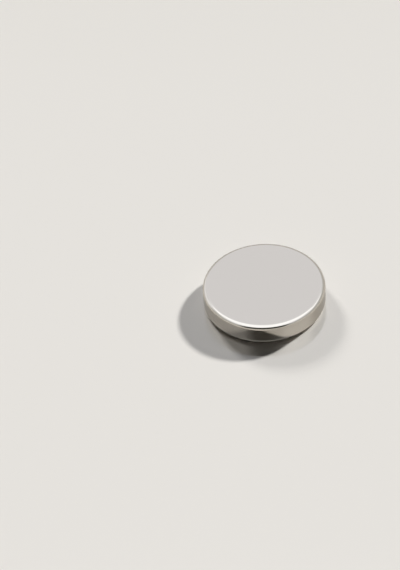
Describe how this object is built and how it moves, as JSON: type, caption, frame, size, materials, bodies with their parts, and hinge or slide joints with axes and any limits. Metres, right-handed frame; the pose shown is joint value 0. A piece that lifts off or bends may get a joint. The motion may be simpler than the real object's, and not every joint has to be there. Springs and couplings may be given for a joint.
{
  "type": "disc magnet",
  "caption": "Thin flat round magnet with ground pole faces, a straight wall and tumbled rims, bright nickel all over.",
  "frame": {"origin": "centre of the lower pole face, which is the face that the disc lies on", "axes": "+Z along the disc's axis, which is its magnetic axis, from the lower pole face to the upper one; X and Y are interchangeable, because the disc is round"},
  "size_m": [0.01, 0.01, 0.0018],
  "materials": {
    "nickel_plating": "bright barrel-plated nickel, close to a mirror, with a faint orange peel and hairline tumbling marks"
  },
  "bodies": {
    "root": {"magnet_disc": "nickel_plating"}
  },
  "joints": []
}
